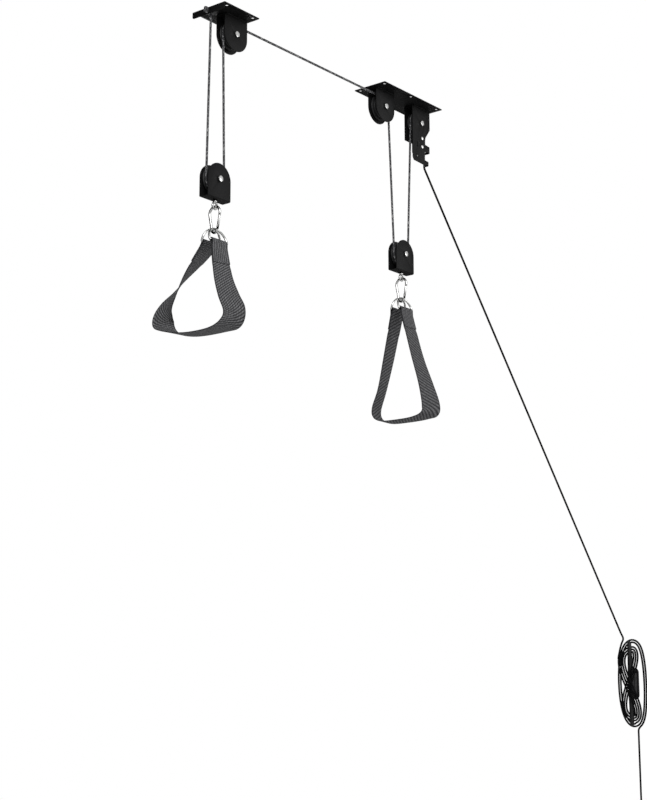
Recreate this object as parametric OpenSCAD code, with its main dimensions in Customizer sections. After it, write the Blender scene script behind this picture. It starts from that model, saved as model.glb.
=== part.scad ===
// Ceiling hoist: two ceiling brackets, two hanging pulley blocks with hooks and webbing slings,
// one braided rope and a wall cleat. Millimetres, +Z up. The origin is the middle of the rear
// bracket's ceiling face, +X runs from the front bracket to the rear one, -Y is the near side.

/* [Ceiling brackets] */
// Width of both ceiling plates
plate_w = 98; // [90:1:120]
// Length of the front ceiling plate
front_plate_l = 122; // [118:1:140]
// Length of the rear ceiling plate
rear_plate_l = 252; // [250:2:280]
// Thickness of the pressed steel
sheet = 2; // [2:0.5:3]
// Depth of the folded lip that anchors the rope
lip_h = 17; // [15:1:24]
// Diameter of the screw holes in the plates
screw_hole_d = 8; // [4:0.5:9]
// Outside width across the two cheeks of a channel
channel_w = 27; // [26:0.5:32]
// Depth of the sheave axles below the ceiling
axle_drop = 44.5; // [44:0.5:60]
// Width of a cheek
cheek_w = 77; // [74:1:79]

/* [Spacing] */
// Distance from the rear bracket's middle to the front axle
front_axle_out = 651; // [500:1:1200]
// Distance of the inner rear axle from the plate's inner end
inner_axle_in = 49; // [46:1:50]
// Distance of the outer rear axle from the plate's outer end
outer_axle_in = 46; // [44:1:46]
// Depth of the front block's axle below the ceiling
front_block_drop = 408; // [360:1:900]
// Depth of the rear block's axle below the ceiling
rear_block_drop = 421; // [360:1:900]

/* [Sheaves and rope] */
// Diameter of the braided rope
rope_d = 5.5; // [4:0.5:6]
// Radius at which the rope's middle runs on a sheave
rope_line_r = 29.5; // [29:0.5:30]
// Outside diameter of the sheave flanges
sheave_d = 68; // [66:1:70]
// Width of a sheave's rim
sheave_w = 15; // [12:1:17]
// Diameter of the axle bolts
axle_d = 8; // [6:1:8]

/* [Blocks and fittings] */
// Radius of the rounded top of a block
block_r = 37; // [36:0.5:38]
// Distance from a block's axle to its bottom face
block_foot = 46.5; // [45:0.5:60]
// Wire diameter of the snap hooks
hook_wire = 6; // [5:0.5:6]
// Wire diameter of the eyes and the D-rings
ring_wire = 5; // [4:0.5:5]
// Radius of the wide end of a snap hook, to the wire's middle
hook_top_r = 15.5; // [15:0.5:17]
// Radius of the narrow end of a snap hook, to the wire's middle
hook_low_r = 8.5; // [8.5:0.5:9.5]
// Distance between the middles of a hook's two round ends
hook_l = 37; // [36:1:44]

/* [Slings] */
// Width of the webbing
web_w = 50; // [40:1:50]
// Thickness of the webbing
web_t = 2; // [1.5:0.5:2]
// Depth of the front sling below its rings
front_sling_drop = 203; // [180:1:320]
// Width of the front sling across its widest place
front_sling_w = 204; // [160:1:260]
// Depth of the rear sling below its rings
rear_sling_drop = 288; // [240:1:400]
// Width of the rear sling across its widest place
rear_sling_w = 170; // [140:1:220]

/* [Wall cleat] */
// Distance of the wall from the rear bracket's middle
wall_out = 1150; // [900:10:2000]
// Depth of the cleat's middle below the ceiling
cleat_drop = 1475; // [1200:5:1800]
// Length of the cleat from horn tip to horn tip
cleat_l = 250; // [246:2:280]
// Length of the free rope that hangs from the cleat
tail_l = 270; // [120:10:500]

/* [Hidden] */
$fn = 48;

// Places of the axles and the blocks
front_x = -front_axle_out;
rear_plate_x = -rear_plate_l / 2;
inner_x = rear_plate_x + inner_axle_in;
outer_x = -rear_plate_x - outer_axle_in;
axle_z = -axle_drop;
front_plate_back = 81;
anchor_in = 9.5;
front_plate_x = front_x - front_plate_back;
front_plate_end = front_plate_x + front_plate_l;
anchor_x = front_plate_x + anchor_in;
front_block_x = (anchor_x + front_x - rope_line_r) / 2;
rear_block_x = (inner_x + outer_x) / 2;
front_block_z = -front_block_drop;
rear_block_z = -rear_block_drop;
rope_r = rope_d / 2;
rope_top_z = axle_z + rope_line_r;
exit_x = outer_x + rope_line_r;
anchor_up = 8;
anchor_bend_r = 6;
anchor_z = anchor_up - lip_h;
anchor_foot_z = anchor_z - anchor_bend_r;
stopper_out = 6.5;
stopper_r = 6.2;

// Clearances
fit = 0.05;
gap = 0.3;
eps = 0.01;
over = 1;
hang_gap = 0.1;

// Screw holes of the plates
hole_edge = 10.5;
hole_end = 12;
front_hole_in = 21;
hole_y = plate_w / 2 - hole_edge;
plate_corner = 1.5;

// Channels, cheeks and axle hardware
cheek_in = channel_w / 2 - sheet;
cheek_mid_drop = 2.5;
bend_r = 3.5;
bend_in = bend_r - sheet;
lip_corner = 4;
bolt_head_af = 13;
hex_chamfer = 0.9;
bolt_head_h = 5.3;
nut_h = 6.5;
bolt_tail = 8.5;
across_corners = 1 / cos(30);

// Sheave section
hub_r = 10;
hub_w = 2 * (cheek_in - gap);
web_r = 20;
web_half = 3;
rim_edge = 1.2;

// Rope lock
pin_out = 4.3;
pin_x = outer_x + pin_out;
pin_r = 3;
pin_head_r = 5.3;
pin_head_h = 2.4;
upper_pin_z = -84.5;
lower_pin_z = -108;
near_foot_z = -154;
far_foot_z = -96;
far_step_z = -121;
far_step_in = 10;
lock_edge_out = 17;
lock_edge_x = outer_x + lock_edge_out;
shoulder_z = -53;
waist_z = -79;
waist_step = 2;
edge_z = -88;
edge_bevel = 3;
foot_bevel = 2;
foot_corner_w = 5;
foot_corner_h = 8;
mouth_in = 6;
tab_top_z = -98.5;
tab_low_z = -117;
tab_out = 41;
tab_x = outer_x + tab_out;
tab_bevel = 2;
tab_past = 4;
nose_top_z = -142;
nose_low_z = -153;
nose_r = 7;
nose_in = 1;
nose_past = 1;
fold_lap = 1;
slit_back = 18;
slit_x = outer_x - slit_back;
slit_w = 2.4;
slit_top = -99.5;
slit_low = -114;
spot_z = -138.5;
spot_r = 2;
cam_w = 2 * (cheek_in - gap);
cam_reach = exit_x - rope_r - gap - pin_x;
cam_boss = 4;
cam_low = -13;
cam_high = 7;
cam_teeth = 6;
cam_off_share = 0.28;
cam_swell_share = 1.3;
tooth_step = 8;
tooth_first = 9;
tooth_cut = 2;
tooth_out = 0.4;

// Hook, eye and rings
wire_r = hook_wire / 2;
ring_r = ring_wire / 2;
eye_r = 7.5;
eye_neck = 4;
eye_collar_r = 5.2;
eye_collar_h = 7;
eye_shank_r = 3.2;
eye_head_h = 3;
eye_sunk = 0.2;
eye_centre = block_foot + eye_neck + eye_r + ring_r - eye_sunk;
hook_top = eye_centre + eye_r - ring_r - wire_r - hang_gap;
hook_wide_c = hook_top + hook_top_r;
hook_narrow_c = hook_wide_c + hook_l;
leg_lean = asin((hook_top_r - hook_low_r) / hook_l);
leg_l = hook_l * cos(leg_lean);
leg_top_y = hook_top_r * cos(leg_lean);
leg_top_drop = hook_wide_c + hook_top_r * sin(leg_lean);
gate_pin_r = 1;
gate_low = 5;
gate_high = 4;
tongue_t = 2.4;
tongue_l = 6.5;
tongue_in = 0.4;
wire_slip = 0.05;
gate_slim = 0.2;
fork_gap = 0.15;
foot_gap = 0.15;
web_side_gap = 0.8;
ring_half = web_w / 2 + web_side_gap + ring_r;
ring_side = 3;
ring_tilt = 17.5;
ring_pair_gap = 0.25;
ring_top_y = ring_r + ring_pair_gap;
ring_seat_r = hook_low_r - wire_r - ring_r - hang_gap;
ring_top_drop = hook_narrow_c + sqrt(ring_seat_r * ring_seat_r - ring_top_y * ring_top_y);
ring_h = ring_half + ring_side;
bar_y = ring_top_y + ring_h * sin(ring_tilt);
bar_drop = ring_top_drop + ring_h * cos(ring_tilt);

// Cast wall cleat
cleat_x = wall_out;
cleat_z = -cleat_drop;
cleat_half = cleat_l / 2;
cleat_screw_half = 18;
cleat_screw_d = 5;
cleat_head_d = 10;
cleat_head_floor = 15;
cleat_foot_half = 46;
cleat_foot_w = 26;
cleat_foot_t = 5;
cleat_body_half = 30;
cleat_body_w = 18;
horn_mid_d = 19;
horn_tip_d = 12;
horn_tip_in = 7.5;
horn_out = 25;
horn_rise = 3;

// Winding: crossed loops over the horns, then open side loops outside them
wind_off_wall = 12;
wind_back_x = cleat_x - wind_off_wall;
wind_clear = 1.6;
wind_pitch = rope_d + wind_clear;
wind_past = 3;
wind_w = 22;
side_w = 35;
side_clear = 3;
side_full_share = 0.2;
wind_rise = 30;
side_rise = 8;
layer_clear = 0.65;
layer_half = rope_r + layer_clear;
eight_loops = 3.5;
wind_loops = 5;
wind_start = 45;
wind_leave = 165;
wind_end = 360 * wind_loops + wind_leave;
wind_step = 15;
cross_out = wind_pitch * eight_loops / 2;
side_h = cleat_half + wind_past - wind_pitch * (wind_loops - eight_loops);
wind_h = side_h - cross_out - side_clear;
wind_lead = 6;
tail_lead = 3;

// Sections of a tube: points of a ring square to direction d around centre c
function unit(v) = v / norm(v);
function side_of(d) = unit(abs(d[1]) > 0.95 ? cross(d, [1, 0, 0]) : cross(d, [0, 1, 0]));
function ring_at(c, d, r, n) =
    let (a = side_of(d), b = cross(d, a))
    [for (i = [0:n - 1]) c + r * (cos(360 * i / n) * a + sin(360 * i / n) * b)];
function run_dir(path, i) =
    let (last = len(path) - 1)
    unit(path[min(i + 1, last)] - path[max(i - 1, 0)]);

// Closed skin over a stack of rings that each have n points
module skin(rings, n) {
    count = len(rings);
    points = [for (ring = rings) for (p = ring) p];
    sides = [for (k = [0:count - 2]) for (i = [0:n - 1])
        let (a = k * n + i, b = k * n + (i + 1) % n) each [[a, b, b + n], [a, b + n, a + n]]];
    low = [[for (i = [0:n - 1]) n - 1 - i]];
    high = [[for (i = [0:n - 1]) (count - 1) * n + i]];
    polyhedron(points = points, faces = concat(sides, low, high), convexity = 10);
}

// Tube of radius r along a path, with its end faces square to the given directions
module tube_along(path, r, n, start_dir, end_dir) {
    last = len(path) - 1;
    rings = [for (i = [0:last])
        ring_at(path[i], i == 0 ? start_dir : i == last ? end_dir : run_dir(path, i), r, n)];
    skin(rings, n);
}

// Straight leaning rope run with level end faces
module level_run(low, high) {
    n = 12;
    skin([for (c = [low, high])
        [for (i = [0:n - 1]) c + rope_r * [cos(360 * i / n), sin(360 * i / n), 0]]], n);
}

// Part of a rope ring in the X-Z plane, centred on an axle, from angle a over sweep s
module rope_arc(x, z, a, s) {
    translate([x, 0, z]) rotate([90, 0, 0])
        rotate_extrude(angle = s, start = a) translate([rope_line_r, 0]) circle(r = rope_r);
}

// Round bar along Y from y0 to y1
module y_bar(x, y0, y1, z, r) {
    translate([x, y0, z]) rotate([-90, 0, 0]) cylinder(r = r, h = y1 - y0);
}

// Plate outline in the X-Z plane, pressed from y0 to y1
module cheek(y0, y1) {
    translate([0, y1, 0]) rotate([90, 0, 0]) linear_extrude(y1 - y0) children();
}

// Flat plate with drilled screw holes; its corners are rounded, those at x0 by r0
module ceiling_plate(x0, length, holes, r0) {
    difference() {
        translate([x0, -plate_w / 2, -sheet]) {
            translate([r0, 0, 0]) cube([length - r0 - plate_corner, plate_w, sheet]);
            translate([0, r0, 0]) cube([length - plate_corner, plate_w - 2 * r0, sheet]);
            translate([r0, plate_corner, 0]) cube([length - r0, plate_w - 2 * plate_corner, sheet]);
            for (y = [plate_corner, plate_w - plate_corner]) {
                translate([length - plate_corner, y, 0]) cylinder(r = plate_corner, h = sheet);
                if (r0 > 0) translate([r0, y, 0]) cylinder(r = r0, h = sheet);
            }
        }
        for (x = holes, y = [-hole_y, hole_y])
            translate([x, y, -sheet - over]) cylinder(d = screw_hole_d, h = sheet + 2 * over);
    }
}

// Half-round cheek outline round an axle, open to the channel's web at the top
module round_cheek(x) {
    translate([x, axle_z - cheek_mid_drop]) circle(d = cheek_w);
    translate([x - cheek_w / 2, axle_z - cheek_mid_drop])
        square([cheek_w, axle_drop + cheek_mid_drop - sheet]);
}

// Half of a channel's section in the Y-Z plane, from its middle to its far cheek; the web is at z 0
module half_section(depth) {
    side = channel_w / 2;
    translate([-eps, -sheet]) square([side - bend_r + eps, sheet]);
    translate([cheek_in, -depth]) square([sheet, depth - bend_r]);
    intersection() {
        translate([side - bend_r, -bend_r]) difference() {
            circle(r = bend_r);
            circle(r = bend_in);
        }
        translate([side - bend_r, -bend_r]) square(bend_r);
    }
}

// Folded half of a channel along X; side is -1 near, 1 far, and up turns the web up or down
module folded_half(x0, length, z, depth, side, up) {
    translate([x0, 0, z]) mirror([0, side < 0 ? 1 : 0, 0]) mirror([0, 0, up < 0 ? 1 : 0])
        rotate([90, 0, 90]) linear_extrude(length) half_section(depth);
}

// Folded channel under a plate whose two cheeks are cut to the two child outlines
module folded_channel(x, depth) {
    for (k = [0, 1]) intersection() {
        folded_half(x - cheek_w / 2, 2 * cheek_w, -sheet, depth, 2 * k - 1, 1);
        cheek(-channel_w / 2, channel_w / 2) children(k);
    }
}

module axle_holes(x, z) {
    y_bar(x, -channel_w, channel_w, z, axle_d / 2 + fit);
}

// Hexagon head or nut whose far corners are turned down to a chamfer
module hexagon(h) {
    corner_r = bolt_head_af * across_corners / 2;
    intersection() {
        cylinder(r = corner_r, h = h, $fn = 6);
        rotate_extrude() polygon([[0, 0], [corner_r, 0], [corner_r, h - hex_chamfer / 2],
            [corner_r - 2 * hex_chamfer, h], [0, h]]);
    }
}

// Hexagon bolt along Y with its head on the near side
module axle_bolt(x, z) {
    y_bar(x, -channel_w / 2 - over, channel_w / 2 + bolt_tail, z, axle_d / 2);
    translate([x, -channel_w / 2, z]) rotate([90, 30, 0]) hexagon(bolt_head_h);
}

module axle_nut(x, z) {
    difference() {
        translate([x, channel_w / 2, z]) rotate([-90, 30, 0]) hexagon(nut_h);
        axle_holes(x, z);
    }
}

// Grooved sheave that turns on an axle along Y
module sheave(x, z) {
    half = sheave_w / 2;
    rim_r = sheave_d / 2;
    groove_r = rope_r + gap;
    translate([x, 0, z]) rotate([-90, 0, 0]) rotate_extrude() difference() {
        union() {
            translate([axle_d / 2 + fit, -hub_w / 2]) square([hub_r - axle_d / 2 - fit, hub_w]);
            translate([hub_r - over, -web_half]) square([web_r - hub_r + 2 * over, 2 * web_half]);
            translate([web_r, -half]) square([rim_r - web_r, 2 * half]);
        }
        translate([rope_line_r, 0]) circle(r = groove_r);
        polygon([[rope_line_r, -groove_r], [rim_r + over, -half + rim_edge],
            [rim_r + over, half - rim_edge], [rope_line_r, groove_r]]);
    }
}

module front_plate() {
    color("#262627") difference() {
        union() {
            ceiling_plate(front_plate_x + bend_r, front_plate_l - bend_r,
                [front_plate_x + front_hole_in, front_plate_end - hole_end], 0);
            cheek(-plate_w / 2, plate_w / 2) intersection() {
                translate([front_plate_x + bend_r, -bend_r]) difference() {
                    circle(r = bend_r);
                    circle(r = bend_in);
                }
                translate([front_plate_x, -bend_r]) square(bend_r);
            }
            translate([front_plate_x, 0, -bend_r]) rotate([90, 0, 90]) linear_extrude(sheet) {
                translate([-plate_w / 2, -lip_h + bend_r + lip_corner])
                    square([plate_w, lip_h - bend_r - lip_corner]);
                translate([-plate_w / 2 + lip_corner, -lip_h + bend_r])
                    square([plate_w - 2 * lip_corner, lip_corner]);
                for (side = [-1, 1])
                    translate([side * (plate_w / 2 - lip_corner), -lip_h + bend_r + lip_corner])
                        circle(r = lip_corner);
            }
        }
        translate([front_plate_x - over, 0, anchor_z]) rotate([0, 90, 0])
            cylinder(r = rope_r + gap, h = sheet + 2 * over);
    }
}

module front_channel() {
    color("#262627") difference() {
        union() {
            folded_channel(front_x, axle_drop + cheek_w) {
                round_cheek(front_x);
                round_cheek(front_x);
            }
        }
        axle_holes(front_x, axle_z);
    }
}

module front_axle_bolt() { color("#d8d9d6") axle_bolt(front_x, axle_z); }
module front_axle_nut() { color("#d8d9d6") axle_nut(front_x, axle_z); }

module rear_plate() {
    color("#262627") ceiling_plate(rear_plate_x, rear_plate_l,
        [rear_plate_x + hole_end, 0, -rear_plate_x - hole_end], plate_corner);
}

module rear_inner_channel() {
    color("#262627") difference() {
        union() {
            folded_channel(inner_x, axle_drop + cheek_w) {
                round_cheek(inner_x);
                round_cheek(inner_x);
            }
        }
        axle_holes(inner_x, axle_z);
    }
}

// Outline of the long near cheek with the slit and the sight hole of the lock
module near_lock_outline() {
    left = outer_x - cheek_w / 2;
    right = outer_x + cheek_w / 2;
    difference() {
        polygon([[left, -sheet], [right, -sheet], [right, shoulder_z],
            [lock_edge_x + waist_step, waist_z], [lock_edge_x, edge_z], [lock_edge_x, tab_top_z],
            [tab_x - nose_r, tab_top_z - tab_bevel], [tab_x - nose_r, tab_low_z],
            [lock_edge_x - edge_bevel, tab_low_z], [lock_edge_x - edge_bevel, nose_top_z],
            [exit_x - nose_in, nose_top_z - nose_in], [exit_x - nose_in, nose_low_z],
            [lock_edge_x - mouth_in, near_foot_z - foot_bevel], [left + foot_corner_w, near_foot_z],
            [left, near_foot_z + foot_corner_h]]);
        translate([slit_x - slit_w / 2, slit_low]) square([slit_w, slit_top - slit_low]);
        translate([slit_x, spot_z]) circle(r = spot_r);
    }
}

// Outline of the short far cheek, stepped down to carry the lower pin
module far_lock_outline() {
    left = outer_x - cheek_w / 2;
    right = outer_x + cheek_w / 2;
    polygon([[left, -sheet], [right, -sheet], [right, shoulder_z], [lock_edge_x + waist_step, waist_z],
        [lock_edge_x, edge_z], [lock_edge_x, far_step_z], [pin_x - far_step_in, far_step_z],
        [pin_x - far_step_in, far_foot_z], [left, far_foot_z]]);
}

// Round fold of a tab that runs from the near cheek behind the rope
module folded_tab(x, z_low, z_high, back_y) {
    mid_y = -channel_w / 2 + nose_r;
    translate([x - nose_r, mid_y, z_low]) {
        rotate_extrude(angle = 90, start = 270) translate([nose_r - sheet, 0])
            square([sheet, z_high - z_low]);
        translate([nose_r - sheet, 0, 0]) cube([sheet, back_y - mid_y, z_high - z_low]);
        translate([-fold_lap, -nose_r, 0]) cube([fold_lap, sheet, z_high - z_low]);
    }
}

module rear_lock_channel() {
    color("#262627") difference() {
        union() {
            folded_channel(outer_x, -near_foot_z + foot_corner_h) {
                near_lock_outline();
                far_lock_outline();
            }
            folded_tab(tab_x, tab_low_z, tab_top_z - tab_bevel, rope_r + tab_past);
            folded_tab(exit_x - nose_in + nose_r, nose_low_z, nose_top_z - nose_in, rope_r + nose_past);
        }
        axle_holes(outer_x, axle_z);
        for (z = [upper_pin_z, lower_pin_z]) y_bar(pin_x, -channel_w, channel_w, z, pin_r + fit);
    }
}

module rear_axle_bolts() {
    color("#d8d9d6") for (x = [inner_x, outer_x]) axle_bolt(x, axle_z);
}

module rear_axle_nuts() {
    color("#d8d9d6") for (x = [inner_x, outer_x]) axle_nut(x, axle_z);
}

// Two riveted cross pins with domed near heads
module lock_pins() {
    color("#e0e0dc") for (z = [upper_pin_z, lower_pin_z]) {
        y_bar(pin_x, -channel_w / 2 - eps, channel_w / 2 + eps, z, pin_r);
        for (end = [-1, 1]) translate([pin_x, end * channel_w / 2, z]) rotate([-90 * end, 0, 0])
            intersection() {
                cylinder(r = pin_head_r, h = pin_head_h);
                translate([0, 0, pin_head_h - 2 * pin_head_r]) sphere(r = 2 * pin_head_r);
            }
    }
}

// Toothed cam that jams the rope against the folded tab; its reach grows as its teeth ride up
module lock_cam() {
    off = cam_off_share * cam_reach;
    color("#b9bab6") translate([pin_x, 0, lower_pin_z]) cheek(-cam_w / 2, cam_w / 2) difference() {
        union() {
            circle(r = pin_r + cam_boss);
            intersection() {
                translate([-off, off]) circle(r = cam_swell_share * cam_reach);
                circle(r = cam_reach);
                translate([0, cam_low]) square([cam_reach, cam_high - cam_low]);
            }
        }
        circle(r = pin_r + fit);
        for (i = [0:cam_teeth - 1]) rotate(tooth_first - tooth_step * i)
            translate([cam_reach + tooth_out, 0]) rotate(45) square(tooth_cut, center = true);
    }
}

module front_sheave() { color("#3a3a3c") sheave(front_x, axle_z); }
module rear_inner_sheave() { color("#3a3a3c") sheave(inner_x, axle_z); }
module rear_outer_sheave() { color("#3a3a3c") sheave(outer_x, axle_z); }

// Overhand knot outside the lip, simplified to a rounded bead, and the rope's turn downwards
module rope_anchor() {
    turn_x = anchor_x - anchor_bend_r;
    color("#4a4a4d") {
        translate([front_plate_x - stopper_out, 0, anchor_z]) sphere(r = stopper_r);
        translate([front_plate_x - stopper_out, 0, anchor_z]) rotate([0, 90, 0])
            cylinder(r = rope_r, h = turn_x - front_plate_x + stopper_out);
        translate([turn_x, 0, anchor_foot_z]) rotate([90, 0, 0])
            rotate_extrude(angle = 90) translate([anchor_bend_r, 0]) circle(r = rope_r);
    }
}

// Rope over the front sheave, along under the ceiling and over the inner rear sheave
module rope_overhead() {
    color("#4a4a4d") {
        rope_arc(front_x, axle_z, 90, 90);
        translate([front_x, 0, rope_top_z]) rotate([0, 90, 0])
            cylinder(r = rope_r, h = inner_x - front_x);
        rope_arc(inner_x, axle_z, 0, 90);
    }
}

// Route of the winding round a centre, as y and z: crossed loops first, each laid beside the
// last, then open side loops outside them that run the other way round
function crossed_loop(a, out) =
    let (t = unit([2 * wind_w * cos(2 * a), -wind_h * sin(a)]))
    [wind_w * sin(2 * a) - out * t[1], wind_h * cos(a) + out * t[0]];
function side_loop(a, out) =
    let (t = unit([-side_w * cos(a), -side_h * sin(a)]), full = 1 + side_full_share * sin(a) * sin(a))
    [-side_w * sin(a) + out * t[1], side_h * full * cos(a) - out * t[0]];
function wind_point(a) =
    let (turn = a / 360, crossed = turn < eight_loops,
        flat = crossed ? crossed_loop(a, wind_pitch * (eight_loops / 2 - turn))
            : side_loop(a, wind_pitch * (turn - eight_loops)),
        rise = crossed ? wind_rise * abs(sin(a)) + layer_half * sin(a) * abs(sin(a))
            : side_rise * sin(a) * sin(a))
    [wind_back_x - rise, flat[0], cleat_z + flat[1]];

wind_path = [for (a = [wind_start:wind_step:wind_end]) wind_point(a)];
wind_first = wind_path[0];
wind_last = wind_path[len(wind_path) - 1];
wind_in = unit(wind_path[1] - wind_path[0]);
wind_out = unit(wind_last - wind_path[len(wind_path) - 2]);

// Hand-chosen route of the rope as it reaches the cleat, and of the free end below it
mouth_gap = 0.5;
lock_out_z = nose_low_z - mouth_gap;
turn_r = 12;
knot_r = 6;
cleat_entry = [for (p = [[-38, 14, 131], [-36, 21, 117], [-35, 27, 102]]) [wall_out, 0, cleat_z] + p];
tail_route = [[0.4, 4.2, -4.2], [0.4, 5.6, -6.7], [0.4, 6.5, -9.5], [0.3, 6.8, -12.4], [0, 6.8, -60],
    [0, 6.8, -130], [0, 6.8, -200], [0, 6.8, -tail_l]];

// Smallest clear gap between stretches of the winding that aren't neighbours
function clamp(v) = min(max(v, 0), 1);
function stretch_gap(p, q, r, t) =
    let (u = q - p, v = t - r, w = p - r, uu = u * u, uv = u * v, vv = v * v, uw = u * w, vw = v * w,
        first = clamp((uv * vw - vv * uw) / max(uu * vv - uv * uv, eps)),
        second = clamp((uv * first + vw) / vv), third = clamp((uv * second - uw) / uu))
    norm(w + third * u - second * v);
function wind_gap(path, skip) = min([for (i = [0:len(path) - 2]) for (j = [i + skip:1:len(path) - 2])
    stretch_gap(path[i], path[i + 1], path[j], path[j + 1])]) - rope_d;

module rope_winding() {
    echo(least_gap_in_winding = wind_gap(wind_path, 4));
    color("#2f2f31") tube_along(wind_path, rope_r, 6, wind_in, wind_out);
}

// Rope over the outer rear sheave and down through the lock
module rope_lock_run() {
    color("#4a4a4d") {
        rope_arc(outer_x, axle_z, 0, 180);
        translate([exit_x, 0, lock_out_z]) cylinder(r = rope_r, h = axle_z - lock_out_z);
    }
}

// Rope from the lock's mouth across to the cleat
module rope_to_cleat() {
    bend = [for (a = [0:10:40]) [exit_x + turn_r * (1 - cos(a)), 0, lock_out_z - turn_r * sin(a)]];
    color("#4a4a4d") tube_along(concat(bend, cleat_entry, [wind_first - wind_lead * wind_in, wind_first]),
        rope_r, 12, [0, 0, -1], wind_in);
}

// Free end that hangs from the cleat, with a stopper knot drawn as a bead
module rope_tail() {
    path = concat([wind_last, wind_last + tail_lead * wind_out], [for (p = tail_route) wind_last + p]);
    end = path[len(path) - 1];
    knot = [for (a = [-70:20:70]) [end - [0, 0, knot_r * (1 + sin(a))], knot_r * cos(a)]];
    rings = concat(
        [for (i = [0:len(path) - 1]) ring_at(path[i], i == 0 ? wind_out : run_dir(path, i), rope_r, 8)],
        [for (k = knot) ring_at(k[0], [0, 0, -1], max(k[1], rope_r), 8)]);
    color("#2f2f31") skin(rings, 8);
}

module rope_front_left() {
    color("#4a4a4d") level_run([front_block_x - rope_line_r, 0, front_block_z],
        [anchor_x, 0, anchor_foot_z]);
}

module rope_front_right() {
    color("#4a4a4d") level_run([front_block_x + rope_line_r, 0, front_block_z],
        [front_x - rope_line_r, 0, axle_z]);
}

module rope_rear_left() {
    color("#4a4a4d") level_run([rear_block_x - rope_line_r, 0, rear_block_z],
        [inner_x + rope_line_r, 0, axle_z]);
}

module rope_rear_right() {
    color("#4a4a4d") level_run([rear_block_x + rope_line_r, 0, rear_block_z],
        [outer_x - rope_line_r, 0, axle_z]);
}

module rope_front_bight() { color("#4a4a4d") rope_arc(front_block_x, front_block_z, 180, 180); }
module rope_rear_bight() { color("#4a4a4d") rope_arc(rear_block_x, rear_block_z, 180, 180); }

// Cast wall cleat: a foot on the wall, a body and two horns that stand clear of the wall
module wall_cleat() {
    end_z = cleat_foot_half - cleat_foot_w / 2;
    head_l = horn_out + horn_mid_d;
    color("#242425") translate([cleat_x, 0, cleat_z]) difference() {
        union() {
            translate([-cleat_foot_t, -cleat_foot_w / 2, -end_z])
                cube([cleat_foot_t, cleat_foot_w, 2 * end_z]);
            for (end = [-1, 1]) translate([-cleat_foot_t, 0, end * end_z])
                rotate([0, 90, 0]) cylinder(d = cleat_foot_w, h = cleat_foot_t);
            translate([-horn_out, -cleat_body_w / 2, -cleat_body_half])
                cube([horn_out - cleat_foot_t + eps, cleat_body_w, 2 * cleat_body_half]);
            for (end = [-1, 1]) hull() {
                translate([-horn_out, 0, 0]) sphere(d = horn_mid_d, $fn = 32);
                translate([-horn_out - horn_rise, 0, end * (cleat_half - horn_tip_in)])
                    sphere(d = horn_tip_d, $fn = 32);
            }
        }
        for (end = [-1, 1]) translate([over, 0, end * cleat_screw_half]) rotate([0, -90, 0]) {
            cylinder(d = cleat_screw_d, h = head_l);
            translate([0, 0, cleat_head_floor + over]) cylinder(d = cleat_head_d, h = head_l);
        }
    }
}

// Round-topped cheek outline of a block
module block_cheek(x, z) {
    translate([x, z]) circle(r = block_r);
    translate([x - block_r, z - block_foot]) square([2 * block_r, block_foot]);
}

// Pulley block: a folded strap of steel with round-topped cheeks and a drilled foot
module block_at(x, z) {
    color("#262627") difference() {
        for (side = [-1, 1]) intersection() {
            folded_half(x - block_r, 2 * block_r, z - block_foot, block_foot + block_r, side, -1);
            cheek(-channel_w / 2, channel_w / 2) block_cheek(x, z);
        }
        axle_holes(x, z);
        translate([x, 0, z - block_foot - over]) cylinder(r = eye_shank_r + fit, h = sheet + 2 * over);
    }
}

// Swivel eye: riveted shank through the block's foot, collar and ring in the X-Z plane
module eye_at(x, z) {
    collar_z = -block_foot - hang_gap - eye_collar_h;
    color("#d3d4d0") translate([x, 0, z]) {
        translate([0, 0, sheet + hang_gap - block_foot]) cylinder(r = eye_collar_r, h = eye_head_h);
        translate([0, 0, -block_foot - eye_neck])
            cylinder(r = eye_shank_r, h = eye_neck + sheet + hang_gap + eps);
        intersection() {
            translate([0, 0, collar_z]) cylinder(r = eye_collar_r, h = eye_collar_h);
            translate([0, 0, collar_z + eye_collar_h / 2]) sphere(r = eye_collar_r);
        }
        translate([0, 0, -eye_centre]) rotate([90, 0, 0]) rotate_extrude()
            translate([eye_r, 0]) circle(r = ring_r);
    }
}

// Places children at a hook leg's top, with -Z along the leg; side is -1 or 1
module at_leg(side) {
    translate([0, side * leg_top_y, -leg_top_drop]) rotate([side * -leg_lean, 0, 0]) children();
}

// Straight wire along a hook's leg, measured from the leg's top
module leg_wire(side, at, length, r) {
    at_leg(side) translate([0, 0, -at - length]) cylinder(r = r, h = length);
}

// Snap hook in the Y-Z plane; the gate closes the near leg
module hook_at(x, z) {
    leg_r = wire_r - wire_slip;
    color("#d3d4d0") translate([x, 0, z]) difference() {
        union() {
            translate([0, 0, -hook_wide_c]) rotate([90, 0, 90])
                rotate_extrude(angle = 180 + 2 * leg_lean, start = -leg_lean)
                    translate([hook_top_r, 0]) circle(r = wire_r);
            translate([0, 0, -hook_narrow_c]) rotate([90, 0, 90])
                rotate_extrude(angle = 180 - 2 * leg_lean, start = 180 + leg_lean)
                    translate([hook_low_r, 0]) circle(r = wire_r);
            leg_wire(1, -gap, leg_l + 2 * gap, leg_r);
            leg_wire(-1, -gap, gate_high + gap, leg_r);
            leg_wire(-1, leg_l - gate_low, gate_low + gap, leg_r);
            at_leg(-1) translate([-tongue_t / 2, tongue_in - leg_r, gate_low - leg_l - over])
                cube([tongue_t, 2 * (leg_r - tongue_in), tongue_l + over]);
        }
        gate_pin_bar(gate_pin_r + fit, hook_wire + 2 * over);
    }
}

// Bar along X at the gate's pivot
module gate_pin_bar(r, length) {
    at_leg(-1) translate([-length / 2, 0, gate_low + tongue_l / 2 - leg_l])
        rotate([0, 90, 0]) cylinder(r = r, h = length);
}

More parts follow.
